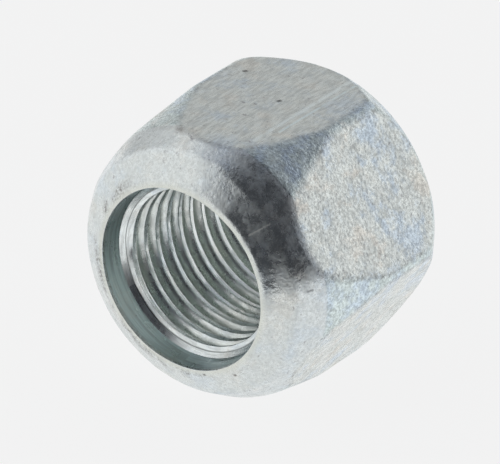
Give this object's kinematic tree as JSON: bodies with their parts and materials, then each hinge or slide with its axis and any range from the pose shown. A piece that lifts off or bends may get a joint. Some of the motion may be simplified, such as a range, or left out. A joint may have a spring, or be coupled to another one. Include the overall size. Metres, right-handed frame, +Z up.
{
  "type": "conical seat hexagon nut",
  "caption": "Open-ended zinc-plated steel hexagon nut with a conical seat behind a chamfered nose, a smooth relief at its mouth and a right-hand fine thread through it.",
  "frame": {"origin": "on the surface that the nut lies on, below the middle of the nut's box", "axes": "+Z up from the flat that it lies on, +Y along the thread axis from the conical seat to the back face, +X across a pair of corners"},
  "size_m": [0.0216, 0.016, 0.019],
  "materials": {
    "zinc_plate": "dull bright zinc plate over forged steel, tumbled and slightly mottled"
  },
  "bodies": {
    "root": {"nut": "zinc_plate"}
  },
  "joints": []
}
